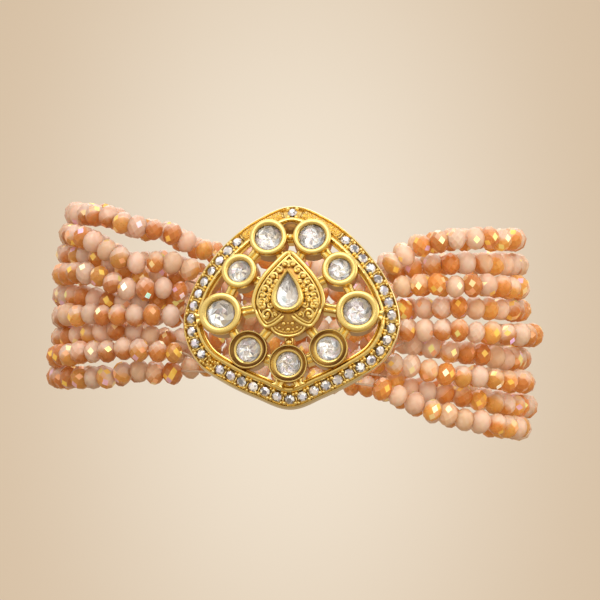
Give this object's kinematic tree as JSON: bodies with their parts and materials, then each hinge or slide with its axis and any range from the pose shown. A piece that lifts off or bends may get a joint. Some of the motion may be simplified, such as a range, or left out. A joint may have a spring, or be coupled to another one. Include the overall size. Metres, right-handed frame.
{
  "type": "beaded bracelet",
  "caption": "Stretch bracelet of faceted glass bead strands with a domed, pierced gilt centre plate set with clear stones.",
  "frame": {"origin": "middle of the loop where a wrist passes, at the height of the centre plate's middle", "axes": "+X along the loop's width to the wearer's view right, +Y to the back of the wrist loop, so the centre plate faces -Y, +Z along the wrist, towards the plate's upper tip"},
  "size_m": [0.0682, 0.0488, 0.0324],
  "materials": {
    "gilt_metal": "polished gilt brass",
    "clear_stones": "cut and polished, foil backed",
    "glass_beads": "faceted, glossy, half coated",
    "elastic_thread": "smooth, milky"
  },
  "bodies": {
    "root": {"centre_setting": "gilt_metal", "pave_stones": "clear_stones", "pear_stone": "clear_stones", "stone_top_left": "clear_stones", "stone_top_right": "clear_stones", "stone_upper_left": "clear_stones", "stone_upper_right": "clear_stones", "stone_side_left": "clear_stones", "stone_side_right": "clear_stones", "stone_lower_left": "clear_stones", "stone_lower_right": "clear_stones", "stone_bottom": "clear_stones", "bead_strand_1": "glass_beads", "bead_strand_2": "glass_beads", "bead_strand_3": "glass_beads", "bead_strand_4": "glass_beads", "bead_strand_5": "glass_beads", "bead_strand_6": "glass_beads", "bead_strand_7": "glass_beads", "bead_strand_8": "glass_beads", "bead_strand_9": "glass_beads", "thread_1": "elastic_thread", "thread_5": "elastic_thread", "thread_9": "elastic_thread"}
  },
  "joints": []
}
